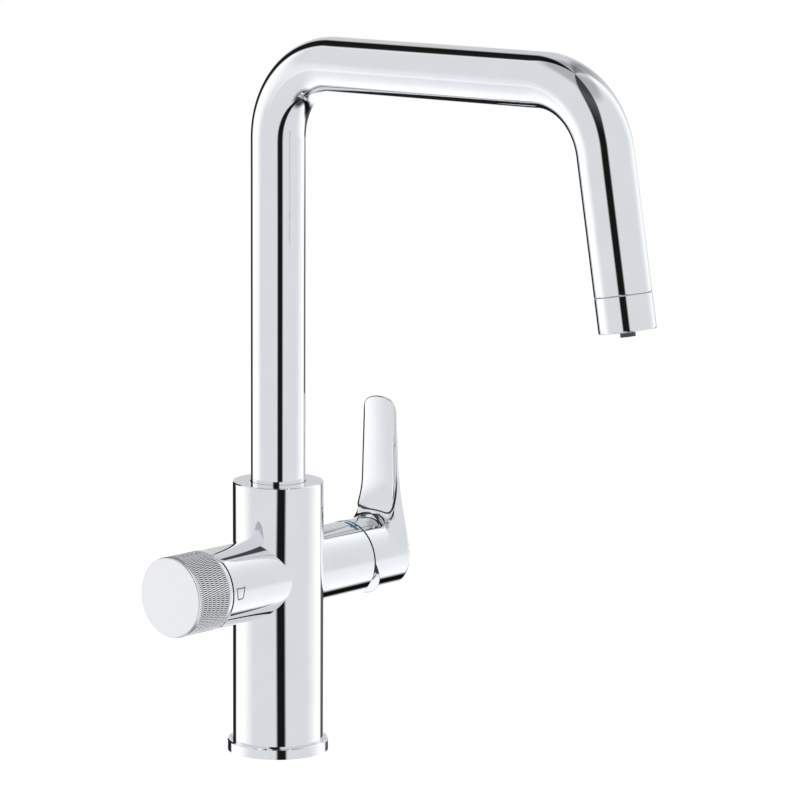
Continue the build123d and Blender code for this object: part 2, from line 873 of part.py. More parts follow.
# Domed shroud on the nut: a spherical shell round the lever's pivot point
def cartridge_dome():
    outer_angle = degrees(acos(dome_hole_radius / dome_radius))
    inner_radius = dome_radius - dome_wall
    inner_angle = degrees(acos(dome_hole_radius / inner_radius))
    outer = ThreePointArc(
        dome_arc(dome_radius, 0),
        dome_arc(dome_radius, outer_angle / 2),
        dome_arc(dome_radius, outer_angle),
    )
    inner = ThreePointArc(
        dome_arc(inner_radius, inner_angle),
        dome_arc(inner_radius, inner_angle / 2),
        dome_arc(inner_radius, 0),
    )
    section = make_face([outer, Line(outer @ 1, inner @ 0), inner, Line(inner @ 1, outer @ 0)])
    side_view = Plane(origin=(pivot_x, 0, cross_height), x_dir=(1, 0, 0), z_dir=(0, -1, 0))
    return revolve(side_view * section, axis=Axis((pivot_x, 0, cross_height), (1, 0, 0)))


save(cartridge_dome(), "cartridge_dome")

# Lever stem: a bar through the carrier, with a round end in the disc holder
stem_end = lever_end - stem_from_end
ball_x = pivot_x - stem_arm
half_stem = stem_width / 2


def lever_stem():
    bar = block(
        pivot_x - stem_heel,
        stem_end,
        -half_stem,
        half_stem,
        cross_height - stem_height / 2,
        cross_height + stem_height / 2,
    )
    bar += block(
        ball_x,
        pivot_x,
        -half_stem,
        half_stem,
        cross_height - stem_arm_height / 2,
        cross_height + stem_arm_height / 2,
    )
    bar += rod_y(stem_ball_radius, -half_stem, half_stem, ball_x, cross_height)
    bar -= rod_y(
        pivot_pin_radius + running_gap, -stem_width, stem_width, pivot_x, cross_height
    )
    return bar


save(lever_stem(), "lever_stem")

# Lever: round hub over the dome, and an upright blade with a curled inner face
hub_cavity_radius = mixer_barrel_radius - lever_wall
socket_start = pivot_x + dome_radius + free_gap
blade_face = lever_end - blade_thickness


blade_side = Line(
    (blade_half_width, cross_height), (blade_top_half_width, blade_top - blade_shoulder)
)


def blade_tip():
    """Rounded top of the blade in the front view, from right to left."""
    side = blade_side @ 1
    return ThreePointArc((side.X, side.Y), (0, blade_top), (-side.X, side.Y))


def blade_corners(outline):
    """The two shoulders under the tip, rounded."""
    level = (blade_side @ 1).Y
    corners = outline.vertices().filter_by_position(Axis.Y, level - 0.5, level + 0.5)
    return fillet(corners, blade_corner)


def blade_outline():
    """Front view of the blade down into the hub, flared in wide arcs into the hub's circle."""
    left = blade_side.mirror(Plane.YZ)
    foot = Line(left @ 0, blade_side @ 0)
    outline = make_face([blade_side, blade_tip(), left, foot])
    outline += Pos(0, cross_height) * Circle(mixer_barrel_radius)
    neck_points = outline.vertices().filter_by_position(
        Axis.Y, cross_height + 5, cross_height + mixer_barrel_radius
    )
    return blade_corners(fillet(neck_points, blade_hub_blend))


def panel_outline():
    """Front view of the raised face: the blade's straight sides down to an arched lip."""
    share = (blade_face_bottom - cross_height) / ((blade_side @ 1).Y - cross_height)
    lip_side = blade_side @ share
    right = Line(lip_side, blade_side @ 1)
    left = right.mirror(Plane.YZ)
    lip = ThreePointArc(
        (-lip_side.X, lip_side.Y), (0, lip_side.Y + blade_lip_arch), (lip_side.X, lip_side.Y)
    )
    outline = make_face([right, blade_tip(), left, lip])
    low = outline.vertices().filter_by_position(
        Axis.Y, blade_face_bottom - 0.5, blade_face_bottom + 0.5
    )
    return blade_corners(fillet(low, blade_lip_corner))


def blade_profile(step):
    """Side view: the upright face, curled towards the tap above the hub; step is set back."""
    drop = blade_curl_start - blade_face_bottom
    curl_radius = (drop**2 + blade_curl_depth**2) / (2 * blade_curl_depth)
    middle = asin(drop / curl_radius) / 2
    face_x = blade_face + step
    curl_middle = (
        face_x - curl_radius * (1 - cos(middle)),
        blade_curl_start - curl_radius * sin(middle),
    )
    toe = (face_x - blade_curl_depth, blade_face_bottom)
    face = Line((face_x, blade_top + 1), (face_x, blade_curl_start))
    curl = ThreePointArc((face_x, blade_curl_start), curl_middle, toe)
    back_x = lever_end + 1
    foot_z = cross_height - mixer_barrel_radius - 1
    outline = Polyline(
        toe,
        (toe[0], foot_z),
        (back_x, foot_z),
        (back_x, blade_top + 1),
        (face_x, blade_top + 1),
    )
    return make_face([face, curl, outline])


def blade_slab(front_view, step):
    """Front view met by side view; the raised face is only as deep as its step needs."""
    front = Plane(origin=(0, 0, 0), x_dir=(0, 1, 0), z_dir=(1, 0, 0)) * front_view
    side = Plane(origin=(0, 0, 0), x_dir=(1, 0, 0), z_dir=(0, -1, 0)) * blade_profile(step)
    return extrude(front, amount=lever_end) & extrude(
        side, amount=mixer_barrel_radius + 1, both=True
    )


def blade():
    """Flared body with a notch over the hub, and the raised face that overhangs the notch."""
    body = blade_slab(blade_outline(), blade_panel_step)
    body -= block(
        0,
        blade_face,
        -blade_notch_half_width,
        blade_notch_half_width,
        blade_face_bottom - blade_notch_depth,
        blade_face_bottom,
    )
    return body + blade_slab(panel_outline(), 0)


def back_crown():
    """Large round bar that leans in with height; what lies outside it is cut off the back."""
    rise = blade_top - cross_height
    lean_in = degrees(atan((blade_crown_low + blade_crown_top) / rise))
    centre_x = lever_end - blade_crown_radius + blade_crown_low
    bar = Cylinder(blade_crown_radius, 4 * rise)
    return Pos(centre_x, 0, cross_height) * Rot(0, -lean_in, 0) * Rot(0, 0, 180) * bar


def lever_handle():
    lever = rod_x(mixer_barrel_radius, lever_back, lever_end - blade_thickness) + blade()
    lever &= back_crown()
    back_edges = lever.edges().filter_by(lambda edge: edge.center().X > lever_end - back_edge_zone)
    back_edges -= back_edges.filter_by(Axis.X)
    lever = fillet(back_edges, hub_edge)
    lever -= rod_x(hub_cavity_radius, lever_back - 1, socket_start)
    # relief under the axis, so that the hub clears the barrel when it tips
    slope = tan(radians(lever_relief_angle))
    depth = 2 * mixer_barrel_radius
    relief = Polyline(
        (lever_back - 1, cross_height),
        (lever_back, cross_height),
        (lever_back + depth * slope, cross_height - depth),
        (lever_back - 1, cross_height - depth),
        close=True,
    )
    side_view = Plane(origin=(0, 0, 0), x_dir=(1, 0, 0), z_dir=(0, -1, 0)) * make_face(relief)
    lever -= extrude(side_view, amount=depth, both=True)
    half_width = half_stem + seat_gap
    half_height = stem_height / 2 + seat_gap
    lever -= block(
        socket_start - 1,
        stem_end + socket_end_gap,
        -half_width,
        half_width,
        cross_height - half_height,
        cross_height + half_height,
    )
    lever -= rod_z(
        set_screw_radius, cross_height - mixer_barrel_radius - 1, cross_height, set_screw_x
    )
    return lever


set_screw_x = lever_end - set_screw_from_end
save(lever_handle(), "lever_handle")

screw_top = cross_height - stem_height / 2 - seat_gap
set_screw_foot = screw_top - set_screw_length
set_screw = rod_z(set_screw_radius - seat_gap, set_screw_foot, screw_top, set_screw_x)
set_screw -= Pos(set_screw_x, 0, set_screw_foot) * hex_key
save(set_screw, "lever_set_screw")

plug_bottom = cross_height - mixer_barrel_radius + screw_plug_sunk
lever_plug = rod_z(
    set_screw_radius - seat_gap, plug_bottom, set_screw_foot - screw_plug_gap, set_screw_x
)
save(lever_plug, "lever_screw_plug")
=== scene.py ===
from math import cos, pi, radians, sin

import bmesh
import bpy
import numpy as np
from mathutils import Matrix, Vector


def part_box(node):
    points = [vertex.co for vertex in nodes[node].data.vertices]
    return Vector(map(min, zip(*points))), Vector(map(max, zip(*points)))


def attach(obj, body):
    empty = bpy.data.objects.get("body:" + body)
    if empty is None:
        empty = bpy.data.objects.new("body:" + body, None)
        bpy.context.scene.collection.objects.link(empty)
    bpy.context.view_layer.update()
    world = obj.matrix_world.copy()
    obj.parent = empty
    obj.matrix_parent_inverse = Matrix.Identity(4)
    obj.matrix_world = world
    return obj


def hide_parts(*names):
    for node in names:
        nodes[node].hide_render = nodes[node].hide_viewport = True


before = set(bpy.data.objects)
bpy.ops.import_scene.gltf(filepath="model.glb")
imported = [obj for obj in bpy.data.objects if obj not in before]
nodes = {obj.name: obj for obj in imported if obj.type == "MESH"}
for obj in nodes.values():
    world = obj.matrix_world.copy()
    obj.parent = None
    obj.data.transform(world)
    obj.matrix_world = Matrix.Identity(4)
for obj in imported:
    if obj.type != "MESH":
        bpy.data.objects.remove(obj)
bpy.context.scene.view_settings.view_transform = "Standard"
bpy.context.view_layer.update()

# The script's own pieces are worked out in millimetres, and their meshes are in metres
mm = 0.001

# Camera, placed where the photograph was taken from
camera_lens = 180.58
camera_sensor = 36
camera_far_end = 20
camera_place = (-1.4822, -1.3641, 0.5159)
camera_turn = radians(-49.14)
camera_rise = radians(9.416)
camera_roll = radians(0.315)


def studio_camera():
    """Camera whose back axis points away from the tap, rolled by a third of a degree."""
    back = Vector(
        (
            sin(camera_turn) * cos(camera_rise),
            -cos(camera_turn) * cos(camera_rise),
            sin(camera_rise),
        )
    )
    across = Vector((cos(camera_turn), sin(camera_turn), 0))
    over = back.cross(across)
    right = cos(camera_roll) * across + sin(camera_roll) * over
    top = back.cross(right)
    turn = Matrix((right, top, back)).transposed()
    data = bpy.data.cameras.new("studio_camera")
    data.lens = camera_lens
    data.sensor_width = camera_sensor
    data.clip_end = camera_far_end
    camera = bpy.data.objects.new("studio_camera", data)
    camera.matrix_world = Matrix.Translation(camera_place) @ turn.to_4x4()
    bpy.context.collection.objects.link(camera)
    bpy.context.scene.camera = camera


# Node helpers
def new_material(name):
    """Material, its node tree and its shader."""
    material = bpy.data.materials.new(name)
    material.use_nodes = True
    tree = material.node_tree
    return material, tree, tree.nodes["Principled BSDF"]


def add(tree, kind, inputs=(), **settings):
    """New node with settings, and inputs given as values or as sockets to link from."""
    node = tree.nodes.new(kind)
    for key, value in settings.items():
        setattr(node, key, value)
    for key, value in dict(inputs).items():
        if isinstance(value, bpy.types.NodeSocket):
            tree.links.new(value, node.inputs[key])
        else:
            node.inputs[key].default_value = value
    return node


def place(tree):
    """Position on the piece in metres, which moves with it."""
    return add(tree, "ShaderNodeTexCoord").outputs["Object"]


def noise(tree, scale, detail=3.0):
    """Noise on object coordinates; scale counts features in a metre."""
    node = add(
        tree, "ShaderNodeTexNoise", {"Vector": place(tree), "Scale": scale, "Detail": detail}
    )
    return node.outputs["Fac"]


# Most of a noise's values lie between these two
noise_low, noise_high = 0.3, 0.7


def spread(tree, value, low, high):
    """The noise's usual range mapped to low..high."""
    return add(
        tree,
        "ShaderNodeMapRange",
        {
            "Value": value,
            "From Min": noise_low,
            "From Max": noise_high,
            "To Min": low,
            "To Max": high,
        },
    ).outputs[0]


def tint(tree, value, dark, light):
    """Colour between dark and light by the value."""
    ramp = add(tree, "ShaderNodeValToRGB", {"Fac": value})
    start, end = ramp.color_ramp.elements
    start.position, end.position = noise_low, noise_high
    start.color, end.color = (*dark, 1), (*light, 1)
    return ramp.outputs["Color"]


def bump(tree, shader, height, strength, distance):
    """Relief of the surface by a height between 0 and 1."""
    node = add(
        tree, "ShaderNodeBump", {"Height": height, "Strength": strength, "Distance": distance}
    )
    tree.links.new(node.outputs["Normal"], shader.inputs["Normal"])


def finish_of(name, dark, light, grain, rough, metallic, relief):
    """Material between two colours by a broad noise; its roughness and its relief (strength
    and depth in metres) follow a fine one. Grain counts the fine one's features in a metre."""
    material, tree, shader = new_material(name)
    shader.inputs["Metallic"].default_value = metallic
    fine = noise(tree, grain, 4.0)
    broad = noise(tree, grain / 12, 2.0)
    tree.links.new(tint(tree, broad, dark, light), shader.inputs["Base Color"])
    tree.links.new(spread(tree, fine, *rough), shader.inputs["Roughness"])
    bump(tree, shader, fine, *relief)
    return material


# Two colours, grain, range of roughness, metallic share, relief
finish_rows = {
    "polished_chrome": (
        (0.86, 0.875, 0.895), (0.885, 0.90, 0.92),
        900, (0.02, 0.045), 1.0, (0.02, 0.00002),
    ),
    "satin_chrome": (
        (0.862, 0.87, 0.888), (0.875, 0.883, 0.90),
        3500, (0.24, 0.28), 1.0, (0.008, 0.00001),
    ),
    "raw_brass": (
        (0.66, 0.46, 0.2), (0.8, 0.59, 0.29),
        1400, (0.22, 0.38), 1.0, (0.25, 0.00006),
    ),
    "stainless_steel": (
        (0.55, 0.55, 0.56), (0.66, 0.66, 0.67),
        1800, (0.2, 0.34), 1.0, (0.2, 0.00005),
    ),
    "black_rubber": (
        (0.012, 0.012, 0.013), (0.03, 0.03, 0.032),
        2200, (0.55, 0.75), 0.0, (0.3, 0.00008),
    ),
    "white_plastic": (
        (0.72, 0.71, 0.68), (0.8, 0.79, 0.77),
        1500, (0.35, 0.5), 0.0, (0.15, 0.00005),
    ),
    "grey_plastic": (
        (0.38, 0.39, 0.4), (0.46, 0.47, 0.48),
        1500, (0.35, 0.5), 0.0, (0.15, 0.00005),
    ),
    "dark_grey_plastic": (
        (0.06, 0.062, 0.065), (0.085, 0.087, 0.09),
        2600, (0.45, 0.6), 0.0, (0.25, 0.00006),
    ),
    "red_enamel": (
        (0.50, 0.085, 0.06), (0.58, 0.11, 0.08),
        1200, (0.3, 0.4), 0.0, (0.05, 0.00002),
    ),
    "blue_enamel": (
        (0.012, 0.11, 0.21), (0.02, 0.15, 0.28),
        1200, (0.3, 0.4), 0.0, (0.05, 0.00002),
    ),
    "grey_enamel": (
        (0.10, 0.102, 0.106), (0.15, 0.152, 0.156),
        1200, (0.35, 0.45), 0.0, (0.05, 0.00002),
    ),
    # dark_groove is painted shade: a near-black finish for the lever's dark lines of shade
    "dark_groove": (
        (0.012, 0.012, 0.013), (0.02, 0.02, 0.021),
        1500, (0.3, 0.45), 0.0, (0.1, 0.00003),
    ),
    "ceramic": (
        (0.78, 0.76, 0.72), (0.86, 0.85, 0.82),
        1800, (0.12, 0.22), 0.0, (0.08, 0.00003),
    ),
}
finishes = {name: finish_of(name, *row) for name, row in finish_rows.items()}
# Finishes that the record has no slot for take the slot of a like one
record_slots = {name: "grey_plastic" for name in ("red_enamel", "blue_enamel", "grey_enamel")}
record_slots["knurl_chrome_painted_shade"] = "polished_chrome"


def dress_nodes():
    """Each carried-over node takes the finish that the record gives it."""
    for node in nodes.values():
        slot = node.material_slots[0]
        slot.material = finishes[slot.material.name]


# Surfaces: each is a grid of points, rings of columns, worked out as whole arrays
def soft_max(first, second, reach):
    """The larger of two fields, rounded where they are within reach of each other."""
    near = np.maximum(reach - np.abs(first - second), 0) / reach
    return np.maximum(first, second) + near**2 * reach / 4


def soft_min(first, second, reach):
    """The smaller of two fields, rounded in the same way."""
    return -soft_max(-first, -second, reach)


def ease(value, low, high):
    """0 below low, 1 above high, and an S curve between."""
    share = np.clip((value - low) / (high - low), 0, 1)
    return share * share * (3 - 2 * share)


def mesh_of(name, points, faces, body, finish):
    """Mesh piece at the origin from points in millimetres; it rides on a body."""
    mesh = bpy.data.meshes.new(name)
    mesh.from_pydata((points * mm).tolist(), [], faces)
    mesh.polygons.foreach_set("use_smooth", [True] * len(mesh.polygons))
    mesh.materials.append(finishes[finish])
    piece = bpy.data.objects.new(name, mesh)
    bpy.context.collection.objects.link(piece)
    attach(piece, body)
    return piece


def grid_faces(rows, columns):
    """Quads between neighbouring rows; columns run round and meet again."""
    row, column = np.meshgrid(np.arange(rows - 1), np.arange(columns), indexing="ij")
    following = (column + 1) % columns
    quads = np.stack(
        (
            row * columns + column,
            row * columns + following,
            (row + 1) * columns + following,
            (row + 1) * columns + column,
        ),
        axis=-1,
    )
    return quads.reshape(-1, 4).tolist()


def tube_piece(name, grid, body, finish, closed_ends=True, flip=False):
    """Closed skin over a grid of rings; each end ring is drawn in to its own middle point."""
    rows, columns = grid.shape[:2]
    points = grid.reshape(-1, 3)
    faces = grid_faces(rows, columns)
    if closed_ends:
        points = np.vstack((points, grid[0].mean(axis=0), grid[-1].mean(axis=0)))
        around = np.arange(columns)
        after = (around + 1) % columns
        last = (rows - 1) * columns
        first_cap = np.column_stack((after, around, np.full(columns, rows * columns)))
        last_cap = np.column_stack(
            (around + last, after + last, np.full(columns, rows * columns + 1))
        )
        faces += first_cap.tolist() + last_cap.tolist()
    if flip:
        faces = [face[::-1] for face in faces]
    return mesh_of(name, points, faces, body, finish)


weld_reach = 2e-6
no_length = 1e-7


def joined(piece):
    """Points closer than weld_reach metres become one, and faces without area go."""
    shape = bmesh.new()
    shape.from_mesh(piece.data)
    bmesh.ops.remove_doubles(shape, verts=shape.verts, dist=weld_reach)
    bmesh.ops.dissolve_degenerate(shape, edges=shape.edges, dist=no_length)
    shape.to_mesh(piece.data)
    shape.free()


# Lever: sizes as in the construction, and those of its curved forms. Heights above 100 are
# measured from the worktop, x from the column's axis
cross_height = 91.5
hub_radius = 20.0
hub_back = 53.2
hub_end = 80.9
hub_rim = 1.2
hub_cavity_radius = 17.6
hub_cavity_end = 65.8
hub_mouth_taper = 0.24
relief_slope = 0.6
blade_top = 174.8
blade_top_radius = 16.7
blade_top_rounding = 2.4
blade_half_width = 12.7
blade_narrowing = 0.0325
blade_width_height = 115.0
blade_middle_x = 79.3
blade_edge_x = 78.4
blade_side_end_x = 80.3
blade_curl_start = 130.0
blade_curl = 0.0162
blade_skin = 0.8
neck_top = 113.5
neck_depth = 20.5
neck_sweep = 21.7
neck_power = 1.25
flare_half_width = 12.9
flare_narrowing = 0.0203
flare_growth = 7.1
flare_height = 27.5
back_bulge_radius = 60.0
back_offset = 3.6
back_slope = 0.0456
joint_reach = 3.5
joint_low, joint_high = 103.5, 111.0
lip_height = 112.6
lip_arch = 1.4
# depth below the cross axis to which the seam's mouth is painted dark as shade
seam_shade_depth = 6.5


def blade_edge(z):
    """x of the raised face's edges: upright above, then curled towards the tap by a
    parabola."""
    return blade_edge_x - blade_curl * np.maximum(blade_curl_start - z, 0) ** 2


def face_half_width(z):
    """Half the raised face's width, which narrows evenly upwards."""
    return blade_half_width - blade_narrowing * (z - blade_width_height)


def tip_height(y):
    """Arc of the blade's tip in the front view."""
    reach = np.sqrt(np.maximum(blade_top_radius**2 - y * y, 1))
    return blade_top - blade_top_radius + reach


def lever_body_field(x, y, z):
    """Below 0 inside hub and blade: a rounded bar along x, a slab that flares down into it by
    a bell curve, and a soft joint between them."""
    above = z - cross_height
    round_bar = np.hypot(y, above) - hub_radius
    end = x - hub_end
    hub = np.minimum(np.maximum(round_bar, end) + hub_rim, 0) + np.hypot(
        np.maximum(round_bar + hub_rim, 0), np.maximum(end + hub_rim, 0)
    )
    hub = hub - hub_rim
    chord = np.sqrt(np.maximum(hub_radius**2 - above**2, 0))
    base = soft_max(chord, face_half_width(z), 3.0)
    flare = flare_half_width - flare_narrowing * above
    flare = flare + flare_growth * np.exp(-((above / flare_height) ** 2))
    low = np.maximum(neck_top - z, 0) / neck_depth
    front = blade_edge(np.maximum(z, neck_top)) + blade_skin - neck_sweep * low**neck_power
    share = np.clip((x - front) / (blade_side_end_x - front), 0, 1)
    side = np.abs(y) - (base + (flare - base) * share**1.5)
    bulge = back_bulge_radius - np.sqrt(np.maximum(back_bulge_radius**2 - y * y, 0))
    back = x - np.minimum(hub_end, hub_end + back_offset - back_slope * above - bulge)
    slab = soft_max(side, front - x, 3.0 - 2.5 * ease(z, 112.5, 117))
    slab = soft_max(slab, z - tip_height(y), blade_top_rounding)
    slab = soft_max(slab, back, blade_top_rounding)
    slab = np.maximum(slab, cross_height - z)
    joint = soft_min(hub, slab, 0.05 + joint_reach * ease(z, joint_low, joint_high))
    return np.maximum(joint, end)


edge_halvings = 36


def found_edge(centre, ray, field, reach):
    """Point on each ray at which the field reaches 0, found by halving. Rays start at the
    centre, where the field is below 0; reach is in ray lengths."""
    low = np.zeros(ray.shape[:-1])
    high = np.full(ray.shape[:-1], reach)
    for _ in range(edge_halvings):
        middle = (low + high) / 2
        point = centre + ray * middle[..., None]
        inside = field(point) < 0
        low = np.where(inside, middle, low)
        high = np.where(inside, high, middle)
    return centre + ray * low[..., None]


def more_finishes(piece, names, start, choice):
    """Further finishes, numbered from 1, for the faces from the given one on."""
    for name in names:
        piece.data.materials.append(finishes[name])
    faces = np.zeros(len(piece.data.polygons), int)
    faces[start : start + len(choice)] = choice
    piece.data.polygons.foreach_set("material_index", faces)


def lever_shell():
    """Hub and flared blade as one skin of sections along an L-shaped line: slanted sheets
    along the hub, sheets that fan round the inner corner, and level sheets up the blade that
    take the tip's arc. Each section's edge is where the field is 0."""
    columns = 288
    turn = np.linspace(0, 2 * pi, columns, endpoint=False)[None, :]
    corner_x, corner_z = 68.0, 118.0

    def body_field(points):
        """The lever's field at points whose last axis holds x, y and z."""
        return lever_body_field(*np.moveaxis(points, -1, 0))

    def back_x(z):
        """x of the hub's end at the seam: upright above the cross axis, and slanted below it
        to leave the wedge that the hub needs to tip."""
        return hub_back + relief_slope * np.maximum(cross_height - z, 0)

    along = np.linspace(0, 1, 40)[:, None]
    hub_ray = np.stack(np.broadcast_arrays(0, np.sin(turn), -np.cos(turn)), -1) * np.ones(
        (len(along), 1, 1)
    )

    def hub_point(point):
        """Point of a hub sheet, moved along x to where the sheet slants."""
        z = point[..., 2]
        x = back_x(z) * (1 - along) + corner_x * along
        return np.stack((x, point[..., 1], z), -1)

    hub_centre = np.array((0, 0, cross_height))
    hub_rows = found_edge(hub_centre, hub_ray, lambda p: body_field(hub_point(p)), 40)
    hub_rows = hub_point(hub_rows)

    fan = np.linspace(0, pi / 2, 74)[1:-1, None]
    lean = np.sin(fan)
    distance = 11.3 + 15.2 * (1 - lean) ** 1.2
    outward = np.concatenate((lean, 0 * fan, -np.cos(fan)), 1)
    centre = np.array((corner_x, 0, corner_z)) + outward * distance
    depth = 20 - 17.6 * lean**0.7
    breadth = 20 - 7.0 * lean
    across = np.array((0.0, 1.0, 0.0))
    fan_ray = (
        np.sin(turn)[..., None] * breadth[..., None] * across
        + (np.cos(turn) * depth)[..., None] * outward[:, None, :]
    )
    fan_rows = found_edge(centre[:, None, :], fan_ray, body_field, 3)

    # sheets crowd together towards the tip
    rise = np.linspace(0, pi / 2, 110)[:, None]
    rise = 1 - np.cos(rise) * (1 - rise / pi)
    rise = rise / rise[-1]

    def level_point(point):
        """Point of a blade sheet, at the sheet's height, bent towards the tip's arc."""
        y = point[..., 1]
        bend = rise**3
        z = corner_z + (blade_top - corner_z) * rise + (tip_height(y) - blade_top) * bend
        return np.stack((point[..., 0], y, z), -1)

    blade_ray = np.stack(
        np.broadcast_arrays(2.4 * np.cos(turn), 13.0 * np.sin(turn), 0), -1
    ) * np.ones((len(rise), 1, 1))
    blade_middle = np.array((blade_middle_x, 0, 0))
    blade_rows = found_edge(blade_middle, blade_ray, lambda p: body_field(level_point(p)), 3)
    blade_rows = level_point(blade_rows)

    # mouth at the seam: a flat ring round a round cavity, broader at the bottom
    ring = hub_rows[0] - (0, 0, cross_height)
    bottom = ease(-ring[:, 2], -4, 18)[:, None]
    share = hub_cavity_radius / hub_radius - hub_mouth_taper * bottom
    inner = ring * (0, 1, 1) * share
    mouth = inner + (0, 0, cross_height)
    mouth[:, 0] = back_x(mouth[:, 2])
    floor_ring = mouth.copy()
    floor_ring[:, 0] = hub_cavity_end
    near_rim = mouth + (hub_rows[0] - mouth) * 0.97
    grid = np.concatenate(
        (floor_ring[None], mouth[None], near_rim[None], hub_rows, fan_rows, blade_rows)
    )
    piece = tube_piece("lever_shell", grid, "mixer_lever", "polished_chrome", flip=True)
    # in the seam the mouth is painted dark as the shade in the gap, and in the wedge below it
    # is satin
    painted_seam_shade = near_rim[:, 2] > cross_height - seam_shade_depth
    choice = np.tile(np.where(painted_seam_shade, 1, 2), 2)
    more_finishes(piece, ("dark_groove", "satin_chrome"), columns, choice)
    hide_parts("lever_handle")


def lever_face():
    """Raised face: rings that shrink from its rounded outline to its middle line. It is
    crowned across by a power curve, curled at the foot, and bevelled round its edge, and
    the bevel is painted dark as a line of shade."""
    columns = 480
    turn = np.linspace(0, 2 * pi, columns, endpoint=False)
    middle = np.array((0.0, 142.0))

    def outline_field(point):
        """Below 0 inside the face's outline: tapered sides, rounded tip and arched lip."""
        y, z = point[..., 0], point[..., 1]
        side = np.abs(y) - face_half_width(z)
        lip = lip_height + lip_arch * (1 - np.minimum(np.abs(y) / 12, 1) ** 2) - z
        return soft_max(soft_max(side, z - tip_height(y) + 0.35, 3.4), lip, 5.0)

    ray = np.stack((11.5 * np.sin(turn), -29.5 * np.cos(turn)), -1)
    edge = found_edge(middle, ray, outline_field, 3)
    along = np.roll(edge, -1, 0) - np.roll(edge, 1, 0)
    inward = np.stack((-along[:, 1], along[:, 0]), -1)
    inward = inward / np.linalg.norm(inward, axis=1)[:, None]
    inward = inward * np.sign(((middle - edge) * inward).sum(1))[:, None]

    # bevel, painted dark as a line of shade: wider along the left edge and the lip, hair-thin
    # up the right edge and at the tip
    y, z = edge[:, 0], edge[:, 1]
    right = ease(-y, 0, 6)
    lip = 1 - ease(z, 113.5, 117)
    side = right * (0.1 + 0.8 * (1 - ease(z, 119, 137))) + (1 - right) * 1.4
    bevel = side * (1 - lip) + lip * (0.9 + 1.7 * ease(y, 1, 11))
    bevel = bevel * (1 - 0.7 * ease(z, 166, 171))
    steep = 1 - 0.65 * (1 - right) * (1 - lip) - 0.7 * lip
    bevel = np.convolve(np.tile(bevel, 3), np.ones(9) / 9, "same")[columns : 2 * columns]
    inner = edge + inward * bevel[:, None]

    def face_x(y, z):
        """x of the face: nearly flat across, and steep in the last few per cent."""
        width = face_half_width(z)
        share = np.minimum(np.abs(y) / width, 1)
        fall = 0.085 * share**2 + 0.02 * share**25
        return blade_edge(z) - width * (0.105 - fall)

    spine_z = np.clip(edge[:, 1], 123, blade_top - 11)
    spine = np.column_stack((0 * spine_z, spine_z))
    shrink = 1 - np.linspace(0, 1, 46) ** 1.3
    flat = spine + (inner - spine) * shrink[:, None, None]
    face = np.concatenate((face_x(flat[..., 0], flat[..., 1])[..., None], flat), -1)
    rim = np.column_stack((face[0, :, 0] + bevel * steep, edge))
    root = np.column_stack((np.full(columns, blade_middle_x), edge))
    back = np.column_stack((np.full(columns, blade_middle_x), spine))
    grid = np.concatenate((back[None], root[None], rim[None], face))
    piece = tube_piece("lever_face", grid, "mixer_lever", "polished_chrome", closed_ends=False)
    # the bevel's faces are painted near-black: painted shade round the face's edge
    more_finishes(piece, ("dark_groove",), 2 * columns, np.ones(columns, int))
    joined(piece)


# Knob: a sleeve with a crossed knurl between its front rim and a plain band at the back
knob_back = 55.0
knob_front = 78.1
knob_radius = 20.4
knob_band = 1.9
knob_rim = 0.6
knob_bore = 18.2
knob_edge_drop = 0.12
knurl_depth = 0.34
knurl_sharpness = 2.2
# painted shade in the knurl: between these depths below the crest the colour goes from near
# black in the hollows to chrome
hollow_from, crest_from = 0.32, 0.05
hollow_shade_colour = (0.02, 0.021, 0.022)
crest_colour = (0.87, 0.885, 0.905)
knurl_teeth = 120
knurl_length = 6.1


def knob_sleeve():
    """Sleeve round the cross axis. The knurl is the product of a wave round the sleeve and a
    wave along it, so that crests and hollows stand in staggered rows."""
    columns = knurl_teeth * 6
    turn = np.linspace(0, 2 * pi, columns, endpoint=False)
    start, end = knob_back + knob_band, knob_front - knob_rim
    along = np.linspace(start, end, 62)
    fade = ease(along, start, start + 0.4) * (1 - ease(along, end - 0.3, end))
    wave = np.cos(knurl_teeth * turn) * np.cos(2 * pi * (along[:, None] - end) / knurl_length)
    wave = np.tanh(knurl_sharpness * wave) / np.tanh(knurl_sharpness)
    knurl = knob_radius - knurl_depth * fade[:, None] * (0.5 - 0.5 * wave)
    plain = np.array(
        (
            (knob_back, knob_bore),
            (knob_back, knob_radius - 0.3),
            (knob_back + 0.1, knob_radius - 0.09),
            (knob_back + 0.3, knob_radius),
            (start - 0.25, knob_radius),
            (start - 0.08, knob_radius - 0.04),
        )
    )
    rim = np.array(
        (
            (end + 0.1, knob_radius - knob_edge_drop),
            (knob_front - 0.1, knob_radius - knob_edge_drop),
            (knob_front, knob_radius - 0.25),
            (knob_front, knob_bore),
            (knob_back, knob_bore),
        )
    )
    x = np.concatenate((plain[:, 0], along, rim[:, 0]))
    flat = np.ones((1, columns))
    radius = np.concatenate((plain[:, 1:] * flat, knurl, rim[:, 1:] * flat))
    grid = np.stack(
        (-x[:, None] * flat, radius * np.cos(turn), cross_height + radius * np.sin(turn)), -1
    )
    finishes["knurl_chrome_painted_shade"] = knurl_chrome_painted_shade()
    piece = tube_piece("knurled_sleeve", grid, "filter_knob", "knurl_chrome_painted_shade", closed_ends=False)
    joined(piece)
    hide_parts("knob_sleeve")


